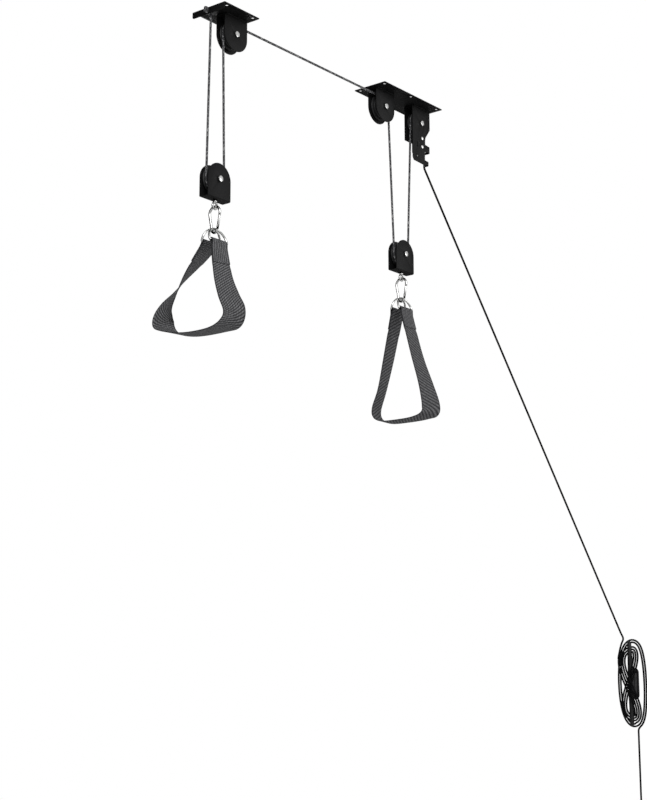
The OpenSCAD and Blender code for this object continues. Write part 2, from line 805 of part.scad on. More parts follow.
module gate_pin_at(x, z) {
    color("#c9cac6") translate([x, 0, z]) gate_pin_bar(gate_pin_r, 2 * (wire_r - gate_slim));
}

// Gate of a snap hook: a round bar with a forked foot, rounded about the pin, over the tongue
module gate_at(x, z) {
    gate_r = wire_r - gate_slim;
    color("#dcdcd8") translate([x, 0, z]) difference() {
        intersection() {
            leg_wire(-1, gate_high + gap, leg_l - gate_low - gate_high - gap, gate_r);
            union() {
                gate_pin_bar(tongue_l / 2 - foot_gap, 2 * hook_wire);
                leg_wire(-1, 0, leg_l - gate_low - tongue_l / 2, hook_wire);
            }
        }
        at_leg(-1) translate([-tongue_t / 2 - fork_gap, -hook_wire, gate_low - leg_l - over])
            cube([tongue_t + 2 * fork_gap, 2 * hook_wire, tongue_l + 2 * over]);
        gate_pin_bar(gate_pin_r + fit, hook_wire + 2 * over);
    }
}

// D-ring on the hook's low end, leaning out along its sling leg; side is -1 near, 1 far
module d_ring_at(x, z, side) {
    color("#d3d4d0") translate([x, side * bar_y, z - bar_drop]) rotate([side * ring_tilt, 0, 0])
        rotate([90, 0, 0]) {
            translate([0, ring_side]) rotate_extrude(angle = 180)
                translate([ring_half, 0]) circle(r = ring_r);
            for (end = [-1, 1]) {
                translate([end * ring_half, 0, 0]) rotate([-90, 0, 0])
                    cylinder(r = ring_r, h = ring_side + eps);
                translate([end * ring_half, 0, 0]) sphere(r = ring_r);
            }
            translate([-ring_half, 0, 0]) rotate([0, 90, 0]) cylinder(r = ring_r, h = 2 * ring_half);
        }
}

// Flat band along stations of [point, width direction, half thickness]
function web_ring(st, d) =
    let (w = unit(st[1] - (st[1] * d) * d), n = cross(w, d), a = w * web_w / 2, b = n * st[2])
    [st[0] - a - b, st[0] + a - b, st[0] + a + b, st[0] - a + b];
module band(stations) {
    path = [for (s = stations) s[0]];
    skin([for (i = [0:len(stations) - 1]) web_ring(stations[i], run_dir(path, i))], 4);
}

// Point and tangent blend on a smooth curve through the hand-chosen points of a sling
function curve(p, i, t) =
    let (last = len(p) - 1, a = p[max(i - 1, 0)], b = p[i], c = p[i + 1], d = p[min(i + 2, last)])
    0.5 * (2 * b + (c - a) * t + (2 * a - 5 * b + 4 * c - d) * t * t
        + (3 * b - a - 3 * c + d) * t * t * t);
function smooth(p, n) =
    concat([for (i = [0:len(p) - 2]) for (k = [0:n - 1]) curve(p, i, k / n)], [p[len(p) - 1]]);

// Sewn sleeve of webbing round a D-ring's bar
module bar_sleeve(side) {
    inner = ring_r + gap;
    translate([-web_w / 2, side * bar_y, 0]) rotate([0, 90, 0]) difference() {
        cylinder(r = inner + web_t, h = web_w);
        translate([0, 0, -over]) cylinder(r = inner, h = web_w + 2 * over);
    }
}

sleeve_r = ring_r + gap + web_t;
leg_out = [sin(ring_tilt), -cos(ring_tilt)];

// Places along each sling from its near ring to its far one: shares in x and y of its width and
// in z of its drop, with the turn of the webbing's width about the vertical at both ends and there
rear_places_shares = [[0, -0.265, 0.417], [0, -0.425, 0.7], [0, -0.51, 0.89], [0, -0.48, 0.965],
    [0, -0.3, 0.995], [0, 0, 1], [0, 0.3, 0.99], [0, 0.455, 0.945], [0, 0.485, 0.86],
    [0, 0.375, 0.69], [0, 0.24, 0.4]];
rear_turns = [0, 3, 14, 30, 30, 18, 6, 0, -6, -10, -12, -5, 0];

front_places_shares = [[0, -0.13, 0.39], [0, -0.215, 0.63], [0.01, -0.29, 0.8], [0.01, -0.265, 0.92],
    [0, -0.13, 0.985], [0, 0.12, 1], [0, 0.4, 0.98], [0, 0.64, 0.915], [0, 0.76, 0.8],
    [0, 0.725, 0.65], [0, 0.59, 0.5], [0, 0.44, 0.345], [0, 0.245, 0.175]];
front_turns = [0, 15, 32, 42, 42, 32, 15, 6, 14, 48, 92, 118, 136, 160, 180];
sewn_l = 50;

function leg_start(side) =
    let (reach = sleeve_r - web_t / 2)
    [0, side * (bar_y + leg_out[0] * reach), leg_out[1] * reach];

// Webbing sling: a loop that starts and ends in a sewn sleeve, with doubled webbing near both
module sling(x, block_z, places, turns, width, drop) {
    last = len(turns) - 1;
    loop = [for (p = places) [p[0] * width, p[1] * width, -p[2] * drop]];
    points = concat([leg_start(-1)], loop, [leg_start(1)]);
    route = smooth([for (i = [0:last]) concat(points[i], turns[i])], 4);
    color("#5b5b5e") translate([x, 0, block_z - bar_drop]) {
        bar_sleeve(-1);
        bar_sleeve(1);
        band([for (p = route) [[p[0], p[1], p[2]], [cos(p[3]), -sin(p[3]), 0],
            p[2] > -sewn_l ? web_t : web_t / 2]]);
    }
}

module rear_strap() {
    sling(rear_block_x, rear_block_z, rear_places_shares, rear_turns, rear_sling_w, rear_sling_drop);
}

module front_strap() {
    sling(front_block_x, front_block_z, front_places_shares, front_turns, front_sling_w,
        front_sling_drop);
}

module front_block() { block_at(front_block_x, front_block_z); }
module front_block_sheave() { color("#3a3a3c") sheave(front_block_x, front_block_z); }
module front_block_bolt() { color("#d8d9d6") axle_bolt(front_block_x, front_block_z); }
module front_block_nut() { color("#d8d9d6") axle_nut(front_block_x, front_block_z); }
module front_eye() { eye_at(front_block_x, front_block_z); }
module front_hook() { hook_at(front_block_x, front_block_z); }
module front_gate() { gate_at(front_block_x, front_block_z); }
module front_gate_pin() { gate_pin_at(front_block_x, front_block_z); }
module front_ring_near() { d_ring_at(front_block_x, front_block_z, -1); }
module front_ring_far() { d_ring_at(front_block_x, front_block_z, 1); }
module rear_block() { block_at(rear_block_x, rear_block_z); }
module rear_block_sheave() { color("#3a3a3c") sheave(rear_block_x, rear_block_z); }
module rear_block_bolt() { color("#d8d9d6") axle_bolt(rear_block_x, rear_block_z); }
module rear_block_nut() { color("#d8d9d6") axle_nut(rear_block_x, rear_block_z); }
module rear_eye() { eye_at(rear_block_x, rear_block_z); }
module rear_hook() { hook_at(rear_block_x, rear_block_z); }
module rear_gate() { gate_at(rear_block_x, rear_block_z); }
module rear_gate_pin() { gate_pin_at(rear_block_x, rear_block_z); }
module rear_ring_near() { d_ring_at(rear_block_x, rear_block_z, -1); }
module rear_ring_far() { d_ring_at(rear_block_x, rear_block_z, 1); }

front_plate();
front_channel();
front_axle_bolt();
front_axle_nut();
rear_plate();
rear_inner_channel();
rear_lock_channel();
rear_axle_bolts();
rear_axle_nuts();
lock_pins();
lock_cam();
front_sheave();
rear_inner_sheave();
rear_outer_sheave();
rope_anchor();
rope_overhead();
rope_lock_run();
rope_to_cleat();
rope_winding();
rope_tail();
rope_front_left();
rope_front_right();
rope_rear_left();
rope_rear_right();
rope_front_bight();
rope_rear_bight();
wall_cleat();
front_block();
front_block_sheave();
front_block_bolt();
front_block_nut();
front_eye();
front_hook();
front_gate();
front_gate_pin();
front_ring_near();
front_ring_far();
front_strap();
rear_block();
rear_block_sheave();
rear_block_bolt();
rear_block_nut();
rear_eye();
rear_hook();
rear_gate();
rear_gate_pin();
rear_ring_near();
rear_ring_far();
rear_strap();
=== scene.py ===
"""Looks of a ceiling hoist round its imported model: braided rope, woven slings, coated steel and
zinc-plated hardware, in the frame's metres."""

import math

import bmesh
import bpy
import numpy as np
from mathutils import Matrix, Vector


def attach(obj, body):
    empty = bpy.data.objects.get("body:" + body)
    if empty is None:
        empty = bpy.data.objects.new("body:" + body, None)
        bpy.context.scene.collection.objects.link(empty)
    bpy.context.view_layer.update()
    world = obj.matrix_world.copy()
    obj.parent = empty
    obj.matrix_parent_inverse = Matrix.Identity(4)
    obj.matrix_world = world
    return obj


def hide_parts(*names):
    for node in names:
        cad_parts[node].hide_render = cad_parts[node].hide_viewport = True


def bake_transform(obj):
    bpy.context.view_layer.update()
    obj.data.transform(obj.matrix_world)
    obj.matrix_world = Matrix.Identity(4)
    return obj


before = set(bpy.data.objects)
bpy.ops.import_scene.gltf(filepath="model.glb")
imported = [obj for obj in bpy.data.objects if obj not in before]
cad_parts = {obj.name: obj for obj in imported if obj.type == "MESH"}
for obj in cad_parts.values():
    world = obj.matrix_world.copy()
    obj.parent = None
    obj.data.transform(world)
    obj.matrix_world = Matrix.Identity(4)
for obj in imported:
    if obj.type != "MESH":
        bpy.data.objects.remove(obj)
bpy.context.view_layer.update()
MM = 0.001
V = Vector


# Camera


def photo_camera():
    """Camera at the photograph's place, fitted to the plates, blocks and plumb rope."""
    yaw, pitch, roll = 0.8906, 0.2030, -0.0014
    look = V((math.sin(yaw) * math.cos(pitch), math.cos(yaw) * math.cos(pitch), math.sin(pitch)))
    right = look.cross(V((0, 0, 1))).normalized()
    up = right.cross(look)
    side = math.cos(roll) * right + math.sin(roll) * up
    top = math.cos(roll) * up - math.sin(roll) * right
    data = bpy.data.cameras.new("photo_camera")
    data.sensor_width = 36
    data.lens = 75.62
    data.clip_end = 50
    eye = bpy.data.objects.new("photo_camera", data)
    bpy.context.collection.objects.link(eye)
    turn = Matrix((side, top, -look)).transposed()
    eye.matrix_world = Matrix.Translation((-3.3484, -2.45367, -1.65411)) @ turn.to_4x4()
    bpy.context.scene.camera = eye
    return eye


photo_camera()

# Sizes, in millimetres

ROPE_D = 5.5
ROPE_R = ROPE_D / 2
LINE_R = 29.5
AXLE_Z = -44.5
FRONT_X, INNER_X, OUTER_X = -651.0, -77.0, 80.0
PLATE_X = -732.0
ANCHOR_X, ANCHOR_Z, ANCHOR_BEND, STOPPER_OUT = -722.5, -9.0, 6.0, 6.5
BLOCKS = {"front": (-701.5, -408.0), "rear": (1.5, -421.0)}
EXIT_X = OUTER_X + LINE_R
LOCK_OUT_Z = -153.5
WALL_X, CLEAT_Z = 1150.0, -1475.0
WEB_W, WEB_T = 50.0, 2.0
SEWN_L = 50.0
RING_R, RING_TILT = 2.5, math.radians(17.5)
BAR_Y, BAR_DROP = 12.162, 145.472
WIND_PITCH, EIGHT_LOOPS = 7.1, 3.5
CROSS_W, CROSS_H, SIDE_W, SIDE_H = 22.0, 101.925, 35.0, 117.35
TAIL_L = 270.0
WORLD_LIGHT = 0.48
LAMPS = (("key", (-2.6, -2.6, 1.2), (0, 0, -0.5), 2.2, 84),
         ("fill", (2.3, -3.9, -0.2), (0.2, 0, -0.8), 2.6, 58),
         ("rim", (1.2, 2.6, 0.4), (0, 0, -0.6), 2.0, 40))
AHEAD, TO_RIGHT = V((0.777, 0.629, 0)), V((0.629, -0.777, 0))
CARDS = tuple((name, size, AHEAD * deep + TO_RIGHT * right + V((0, 0, high)), facing)
              for name, size, deep, right, high, facing in (
                  ("left_card", (4.0, 5.0), 0.6, -1.35, -0.4, (0.629, -0.777, 0)),
                  ("right_card", (2.4, 5.0), 2.1, 1.7, -0.4, (-0.629, 0.777, 0)),
                  ("front_card", (1.0, 5.0), -1.3, 1.2, -0.4, (-0.97, 0.24, 0)),
                  ("back_card", (6.5, 3.0), 3.4, 0.0, -1.7, (-0.777, -0.629, 0)),
                  ("top_card", (2.6, 2.6), 0.4, 0.0, 1.3, (0, 0, -1))))


# Finishes


class Tone:
    """A number from a shader socket, which Python's operators turn into Math nodes."""

    def __init__(self, finish, socket):
        self.finish, self.socket = finish, socket

    def maths(self, operation, *values):
        made = self.finish.node("ShaderNodeMath", {"operation": operation}, *values)
        return Tone(self.finish, made.outputs[0])

    def __add__(self, other):
        return self.maths("ADD", self, other)

    def __sub__(self, other):
        return self.maths("SUBTRACT", self, other)

    def __rsub__(self, other):
        return self.maths("SUBTRACT", other, self)

    def __mul__(self, other):
        return self.maths("MULTIPLY", self, other)

    def __pow__(self, other):
        return self.maths("POWER", self, other)

    __radd__, __rmul__ = __add__, __mul__

    def floor(self):
        return self.maths("FLOOR", self)

    def fract(self):
        return self.maths("FRACT", self)

    def sine(self):
        return self.maths("SINE", self)

    def size(self):
        return self.maths("ABSOLUTE", self)

    def over(self, edge):
        return self.maths("GREATER_THAN", self, edge)

    def between(self, low, high):
        """0 below low, 1 above high, and even in between."""
        made = self.finish.node("ShaderNodeMapRange", {"clamp": True}, self, low, high, 0.0, 1.0)
        return Tone(self.finish, made.outputs[0])


class Finish:
    """One material: a Principled surface, and the nodes that vary it."""

    def __init__(self, name, colour, roughness, metallic=0.0, **fixed):
        self.material = bpy.data.materials.new(name)
        self.material.use_nodes = True
        self.tree = self.material.node_tree
        self.surface = self.tree.nodes["Principled BSDF"]
        self.colour = colour
        for socket, value in {"Base Color": (*colour, 1), "Roughness": roughness,
                              "Metallic": metallic, **fixed}.items():
            self.surface.inputs[socket].default_value = value

    def node(self, kind, settings=None, *values, **named):
        made = self.tree.nodes.new(kind)
        for key, value in (settings or {}).items():
            setattr(made, key, value)
        for key, value in [*enumerate(values), *((k.replace("_", " "), v) for k, v in named.items())]:
            if value is None:
                continue
            if isinstance(value, Tone):
                value = value.socket
            if isinstance(value, bpy.types.NodeSocket):
                self.tree.links.new(value, made.inputs[key])
            else:
                made.inputs[key].default_value = value
        return made

    def place(self):
        return self.node("ShaderNodeTexCoord").outputs["Object"]

    def stretched(self, x, y, z):
        return self.node("ShaderNodeMapping", None, self.place(), Scale=(x, y, z)).outputs[0]

    def noise(self, scale, detail=2.0, where=None):
        made = self.node("ShaderNodeTexNoise", None, Vector=where or self.place(), Scale=scale, Detail=detail)
        return Tone(self, made.outputs["Fac"])

    def cloth(self):
        """Across and along a strip or rope, both in metres, from its own UV map."""
        lay = self.node("ShaderNodeUVMap", {"uv_map": "lay"})
        split = self.node("ShaderNodeSeparateXYZ", None, lay.outputs[0])
        return Tone(self, split.outputs[0]), Tone(self, split.outputs[1])

    def speck(self, *parts):
        """Random number for each whole value of the parts."""
        joined = self.node("ShaderNodeCombineXYZ", None, *parts)
        return Tone(self, self.node("ShaderNodeTexWhiteNoise", None, joined.outputs[0]).outputs["Value"])

    def paint(self, mask, other):
        """Blends the surface's colour towards another by a mask."""
        now = self.surface.inputs["Base Color"]
        start = now.links[0].from_socket if now.links else (*self.colour, 1)
        made = self.node("ShaderNodeMix", {"data_type": "RGBA"})
        for key, value in ((0, mask.socket), (6, start), (7, (*other, 1))):
            if isinstance(value, bpy.types.NodeSocket):
                self.tree.links.new(value, made.inputs[key])
            else:
                made.inputs[key].default_value = value
        self.tree.links.new(made.outputs[2], now)
        return self

    def feed(self, socket, tone):
        self.tree.links.new(tone.socket, self.surface.inputs[socket])
        return self

    def relief(self, height, depth):
        """Bump of the given depth in metres, over any relief that is there already."""
        normal = self.surface.inputs["Normal"]
        below = normal.links[0].from_socket if normal.links else None
        made = self.node("ShaderNodeBump", None, Strength=1.0, Distance=depth, Height=height, Normal=below)
        self.tree.links.new(made.outputs[0], normal)
        return self


def coated_steel(name, shade, roughness):
    """Powder coat: a fine orange peel, a little dust and faint uneven gloss."""
    coat = Finish(name, (shade, shade, shade * 1.04), roughness, **{"Specular IOR Level": 0.09})
    cloud = coat.noise(26, 3.0)
    coat.paint(cloud.between(0.4, 0.8) * 0.5, (shade * 1.8, shade * 1.8, shade * 1.85))
    coat.paint(coat.noise(900, 1.0).between(0.64, 0.8) * 0.3, (0.03, 0.03, 0.031))
    coat.feed("Roughness", cloud * 0.16 + (roughness - 0.08))
    return coat.relief(coat.noise(520, 1.0), 0.0001)


def worn_coat():
    """Edge of the coat, rubbed thin and a little brighter."""
    coat = Finish("coat_edge", (0.012, 0.012, 0.0125), 0.4, **{"Specular IOR Level": 0.3})
    rub = coat.noise(190, 3.0)
    coat.paint(rub.between(0.56, 0.68), (0.034, 0.034, 0.035))
    coat.feed("Roughness", rub * 0.2 + 0.3)
    return coat.relief(rub, 0.00006)


def plated_steel(name, shade, roughness):
    """Zinc plate: soft clouds, fine drawing lines and small pits."""
    plate = Finish(name, (shade, shade, shade * 0.985), roughness, 1.0)
    cloud = plate.noise(160, 3.0)
    lines = plate.noise(900, 2.0, plate.stretched(1, 1, 6))
    plate.paint(cloud.between(0.4, 0.75) * 0.45, (shade * 0.72, shade * 0.73, shade * 0.74))
    plate.feed("Roughness", cloud * 0.16 + lines * 0.08 + (roughness - 0.12))
    return plate.relief(lines, 0.00004)


def moulded_nylon():
    nylon = Finish("moulded_nylon", (0.009, 0.009, 0.0095), 0.5, **{"Specular IOR Level": 0.22})
    grain = nylon.noise(700, 2.0)
    nylon.paint(nylon.noise(60, 2.0).between(0.4, 0.8) * 0.4, (0.018, 0.018, 0.019))
    nylon.feed("Roughness", grain * 0.2 + 0.4)
    return nylon.relief(grain, 0.00006)


def cast_iron():
    """Painted casting: sand texture under a satin black paint."""
    iron = Finish("painted_casting", (0.008, 0.008, 0.0085), 0.45, **{"Specular IOR Level": 0.25})
    sand = iron.noise(420, 3.0)
    iron.paint(sand.between(0.5, 0.75) * 0.4, (0.022, 0.022, 0.023))
    iron.feed("Roughness", sand * 0.25 + 0.34)
    return iron.relief(sand, 0.00025)


def braided(name, dark, light, fleck, gloss=0.2):
    """Sixteen-strand braid: eight strands each way, laid two over two, with light tracer flecks and painted
    shade darkening the hollows between strands.
    """
    rope = Finish(name, dark, 0.75, **{"Specular IOR Level": gloss})
    around, along = rope.cloth()
    girth = ROPE_D * math.pi * MM
    strands, lay = 8, 0.026
    a = around * (strands / girth) + along * (strands / lay)
    b = around * (strands / girth) - along * (strands / lay)
    cross_a = 1 - ((a.fract() - 0.5) * 2.0) ** 2.0
    cross_b = 1 - ((b.fract() - 0.5) * 2.0) ** 2.0
    upper = ((a.floor() + b.floor()) * 0.5).fract().over(0.25)
    height = cross_a * upper + cross_b * (1 - upper)
    strand = rope.speck(a.floor(), 3.0, 1.0) * upper + rope.speck(b.floor(), 9.0, 2.0) * (1 - upper)
    rope.paint(strand.between(0.2, 1.0) * 0.6, light)
    rope.paint(rope.speck(a.floor(), b.floor(), 5.0).over(0.86) * 0.8, fleck)
    # painted shade: the low parts of the strand profile are darkened, standing in for shade between the
    # strands
    rope.paint((1 - height).between(0.55, 1.0) * 0.8, (dark[0] * 0.25, dark[1] * 0.25, dark[2] * 0.25))
    rope.relief(height, 0.00045)
    return rope.relief(rope.noise(3200, 1.0), 0.00008)


def woven_strap(name, ribs, slope, pitch, light):
    """Heavy webbing: lengthwise ribs crossed by slanted rows of lighter floats, dark selvedges."""
    web = Finish(name, (0.022, 0.022, 0.024), 0.85, **{"Specular IOR Level": 0.2})
    across, along = web.cloth()
    rib_gap, pick_gap, yarn = 0.0056, 0.0021, 0.0014
    rib = (across * (2 * math.pi / rib_gap)).sine() * 0.5 + 0.5
    row = ((along + across * slope) * (2 * math.pi / pitch)).sine() * 0.5 + 0.5
    pick = (along * (2 * math.pi / pick_gap) + (across * (1 / yarn)).floor() * math.pi).sine() * 0.5 + 0.5
    top = (1 - along.over(SEWN_L * MM)) * 0.5
    ribbed = rib * (top + ribs) + (1 - ribs - top)
    rowed = row * (0.85 - top) + (top + 0.15)
    thread = ribbed * rowed * (pick * 0.55 + 0.45)
    edge = (across.size() - (WEB_W / 2 - 2.6) * MM).over(0.0)
    tone = web.speck((across * (1 / 0.0028)).floor(), (along * (1 / 0.0058)).floor(), 4.0)
    web.paint(thread.between(0.12, 0.7) * (tone * 0.4 + 0.6), (light, light, light * 1.03))
    web.paint(edge * 0.7, (0.014, 0.014, 0.016))
    web.paint(web.noise(45, 3.0).between(0.55, 0.8) * 0.15, (0.08, 0.08, 0.08))
    web.relief(thread * (1 - edge * 0.6), 0.0008)
    return web.relief(web.noise(2600, 1.0), 0.0001)


COAT = coated_steel("powder_coat", 0.005, 0.5)
EDGE = worn_coat()
ZINC = plated_steel("zinc_plate", 0.5, 0.15)
STEEL = plated_steel("drawn_steel", 0.4, 0.24)
CAM = plated_steel("hardened_cam", 0.3, 0.4)
NYLON = moulded_nylon()
CASTING = cast_iron()
ROPE = braided("braided_rope", (0.036, 0.036, 0.039), (0.17, 0.17, 0.175), (0.46, 0.46, 0.46))
# painted shade: a darker copy of the same rope, used from the lock down to the cleat, on the winding and on
# the free end
ROPE_IN_PAINTED_SHADE = braided("braided_rope_painted_shade", (0.004, 0.004, 0.0045), (0.009, 0.009, 0.0095),
                    (0.018, 0.018, 0.0185), 0.04)
WEBBINGS = {"front": woven_strap("front_webbing", 0.45, 0.6, 0.006, 0.235),
            "rear": woven_strap("rear_webbing", 0.1, -0.6, 0.0092, 0.165)}
THREAD = Finish("sewing_thread", (0.075, 0.075, 0.08), 0.6)
THREAD.relief(THREAD.noise(5000, 1.0), 0.00005)


# Making pieces


def add(name, mesh, finishes, body=None, nodes=(), smooth=35, plain=0.0):
    """Puts a finished mesh in the scene, on its body, in place of the CAD nodes it stands for.
    Faces of more than plain square metres, and those of five edges or more, are shaded flat."""
    piece = bpy.data.objects.new(name, mesh)
    bpy.context.collection.objects.link(piece)
    for finish in finishes:
        mesh.materials.append(finish.material)
    mesh.polygons.foreach_set("use_smooth", [not plain or (len(p.vertices) < 5 and p.area < plain)
                                             for p in mesh.polygons])
    if smooth < 180:
        mesh.set_sharp_from_angle(angle=math.radians(smooth))
    if nodes:
        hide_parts(*nodes)
    if body:
        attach(piece, body)
    return piece


def finished(piece, *modifiers):
    """Applies modifiers to a piece's mesh, and leaves none on it."""
    for kind, settings in modifiers:
        made = piece.modifiers.new(kind.lower(), kind)
        for key, value in settings.items():
            setattr(made, key, value)
    bpy.context.view_layer.update()
    mesh = bpy.data.meshes.new_from_object(piece.evaluated_get(bpy.context.evaluated_depsgraph_get()))
    bpy.data.objects.remove(piece)
    return mesh


def loose(mesh):
    piece = bpy.data.objects.new("blank", mesh)
    bpy.context.collection.objects.link(piece)
    return piece


def dressed(node, body, finish, edge=None, bevel=0.35, smooth=35):
    """Copy of a CAD node with its triangles joined and its edges broken as on pressed metal."""
    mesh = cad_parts[node].data.copy()
    mesh.materials.clear()
    work = bmesh.new()
    work.from_mesh(mesh)
    bmesh.ops.remove_doubles(work, verts=work.verts, dist=2e-6)
    bmesh.ops.dissolve_limit(work, angle_limit=math.radians(0.6), verts=work.verts, edges=work.edges)
    bmesh.ops.dissolve_degenerate(work, dist=1e-6, edges=work.edges)
    work.to_mesh(mesh)
    work.free()
    if bevel:
        mesh = finished(loose(mesh), ("BEVEL", {
            "width": bevel * MM, "segments": 2, "limit_method": "ANGLE", "angle_limit": math.radians(40),
            "material": 1 if edge else 0, "harden_normals": False, "use_clamp_overlap": True}))
    largest_smooth_face = 0.00015
    finishes = [finish] + ([edge] if edge else [])
    return add(node + "_dressed", mesh, finishes, body, [node], smooth, largest_smooth_face)


def frames_along(points):
    """Directions of a path and a normal at each point that turns no more than the path does."""
    path = np.array(points, float)
    ahead = np.gradient(path, axis=0)
    ahead /= np.linalg.norm(ahead, axis=1)[:, None]
    side = np.cross(ahead[0], (0, 1, 0) if abs(ahead[0][1]) < 0.9 else (1, 0, 0))
    sides = []
    for d in ahead:
        side = side - d * side.dot(d)
        side /= np.linalg.norm(side)
        sides.append(side)
    sides = np.array(sides)
    return path, ahead, sides, np.cross(ahead, sides)


def round_bar(points, radius, sides=12, start=0.0, closed=False, radii=None):
    """Closed tube along a path in millimetres, with a UV map in metres; returns a mesh."""
    path, _, a, b = frames_along(points)
    count = len(path)
    radii = np.full(count, radius) if radii is None else np.array(radii)
    angle = np.linspace(0, 2 * math.pi, sides, endpoint=False)
    rings = (path[:, None] + radii[:, None, None] * (np.cos(angle)[None, :, None] * a[:, None]
             + np.sin(angle)[None, :, None] * b[:, None])) * MM
    verts = rings.reshape(-1, 3)
    steps = np.concatenate([[0], np.cumsum(np.linalg.norm(np.diff(path, axis=0), axis=1))]) * MM + start
    faces, lay = [], []
    girth = 2 * math.pi * radius * MM
    last = count if closed else count - 1
    for k in range(last):
        n = (k + 1) % count
        v0, v1 = steps[k], steps[k + 1] if k + 1 < count else steps[k] + (steps[1] - steps[0])
        for i in range(sides):
            j = (i + 1) % sides
            faces.append((k * sides + i, k * sides + j, n * sides + j, n * sides + i))
            u0, u1 = girth * i / sides, girth * (i + 1) / sides
            lay += [(u0, v0), (u1, v0), (u1, v1), (u0, v1)]
    if not closed:
        faces.append(tuple(reversed(range(sides))))
        lay += [(girth * i / sides, steps[0]) for i in reversed(range(sides))]
        faces.append(tuple((count - 1) * sides + i for i in range(sides)))
        lay += [(girth * i / sides, steps[-1]) for i in range(sides)]
    mesh = bpy.data.meshes.new("bar")
    mesh.from_pydata(verts.tolist(), [], faces)
    mesh.uv_layers.new(name="lay").data.foreach_set("uv", np.array(lay).ravel())
    outward(mesh)
    return mesh


def outward(mesh):
    work = bmesh.new()
    work.from_mesh(mesh)
    bmesh.ops.recalc_face_normals(work, faces=work.faces)
    work.to_mesh(mesh)
    work.free()
    return mesh


def joined(*meshes):
    """One mesh of several, with their UV maps and material numbers kept."""
    work = bmesh.new()
    for mesh in meshes:
        work.from_mesh(mesh)
    whole = bpy.data.meshes.new("joined")
    work.to_mesh(whole)
    work.free()
    return whole


def turned(profile, centre, axis="Y", steps=48):
    """Turned form from (radius, height) points along an axis through centre; returns a mesh."""
    rows = []
    for r, h in profile:
        for i in range(steps):
            t = 2 * math.pi * i / steps
            x, y = r * math.cos(t), r * math.sin(t)
            spot = {"Y": (x, h, y), "Z": (x, y, h), "X": (h, x, y)}[axis]
            rows.append([(c + s) * MM for c, s in zip(centre, spot)])
    faces = [(k * steps + i, k * steps + (i + 1) % steps,
              (k + 1) * steps + (i + 1) % steps, (k + 1) * steps + i)
             for k in range(len(profile) - 1) for i in range(steps)]
    faces += [tuple(range(steps)), tuple(reversed(range((len(profile) - 1) * steps, len(profile) * steps)))]
    mesh = bpy.data.meshes.new("turned")
    mesh.from_pydata(rows, [], faces)
    return outward(mesh)


def arc(centre, radius, start, sweep, step=4.0):
    """Points of an arc in the X-Z plane, angles in degrees."""
    count = max(2, int(abs(sweep) / step) + 1)
    turns = [math.radians(start + sweep * i / count) for i in range(count + 1)]
    return [V((centre[0] + radius * math.cos(a), centre[1], centre[2] + radius * math.sin(a))) for a in turns]


def straight(a, b, step=8.0):
    a, b = V(a), V(b)
    count = max(1, int((b - a).length / step))
    return [a.lerp(b, i / count) for i in range(count + 1)]


def chained(*parts):
    """One path of several that meet end to end."""
    path = []
    for part in parts:
        path += [V(p) for p in part if not path or (V(p) - path[-1]).length > 0.05]
    return path


def smooth_path(points, steps):
    """Smooth curve through given points."""
    pts = [np.array(p, float) for p in points]
    last = len(pts) - 1
    path = []
    for i in range(last):
        a, b, c, d = pts[max(i - 1, 0)], pts[i], pts[i + 1], pts[min(i + 2, last)]
        for k in range(steps):
            t = k / steps
            path.append(0.5 * (2 * b + (c - a) * t + (2 * a - 5 * b + 4 * c - d) * t * t
                               + (3 * b - a - 3 * c + d) * t ** 3))
    path.append(pts[-1])
    return path


def length_of(path):
    return sum((V(b) - V(a)).length for a, b in zip(path, path[1:]))


# Repeats


def spread_tree():
    """Geometry Nodes: a small piece set at each point of a mesh, turned as the point says."""
    tree = bpy.data.node_groups.new("set_out", "GeometryNodeTree")
    face = tree.interface
    face.new_socket("Places", in_out="INPUT", socket_type="NodeSocketGeometry")
    face.new_socket("Piece", in_out="INPUT", socket_type="NodeSocketObject")
    face.new_socket("Size", in_out="INPUT", socket_type="NodeSocketFloat").default_value = 1.0
    face.new_socket("Finish", in_out="INPUT", socket_type="NodeSocketMaterial")
    face.new_socket("Result", in_out="OUTPUT", socket_type="NodeSocketGeometry")
    made = {k: tree.nodes.new(k) for k in (
        "NodeGroupInput", "NodeGroupOutput", "GeometryNodeObjectInfo", "GeometryNodeInstanceOnPoints",
        "GeometryNodeInputNamedAttribute", "GeometryNodeRealizeInstances", "GeometryNodeSetMaterial")}
    came, turn = made["NodeGroupInput"], made["GeometryNodeInputNamedAttribute"]
    turn.data_type = "FLOAT_VECTOR"
    turn.inputs["Name"].default_value = "turn"
    put, info = made["GeometryNodeInstanceOnPoints"], made["GeometryNodeObjectInfo"]
    whole, coat = made["GeometryNodeRealizeInstances"], made["GeometryNodeSetMaterial"]
    for a, b in ((came.outputs["Places"], put.inputs["Points"]),
                 (came.outputs["Piece"], info.inputs["Object"]),
                 (info.outputs["Geometry"], put.inputs["Instance"]),
                 (turn.outputs[0], put.inputs["Rotation"]),
                 (came.outputs["Size"], put.inputs["Scale"]),
                 (put.outputs[0], whole.inputs[0]),
                 (whole.outputs[0], coat.inputs["Geometry"]),
                 (came.outputs["Finish"], coat.inputs["Material"]),
                 (coat.outputs[0], made["NodeGroupOutput"].inputs[0])):
        tree.links.new(a, b)
    return tree


SET_OUT = spread_tree()


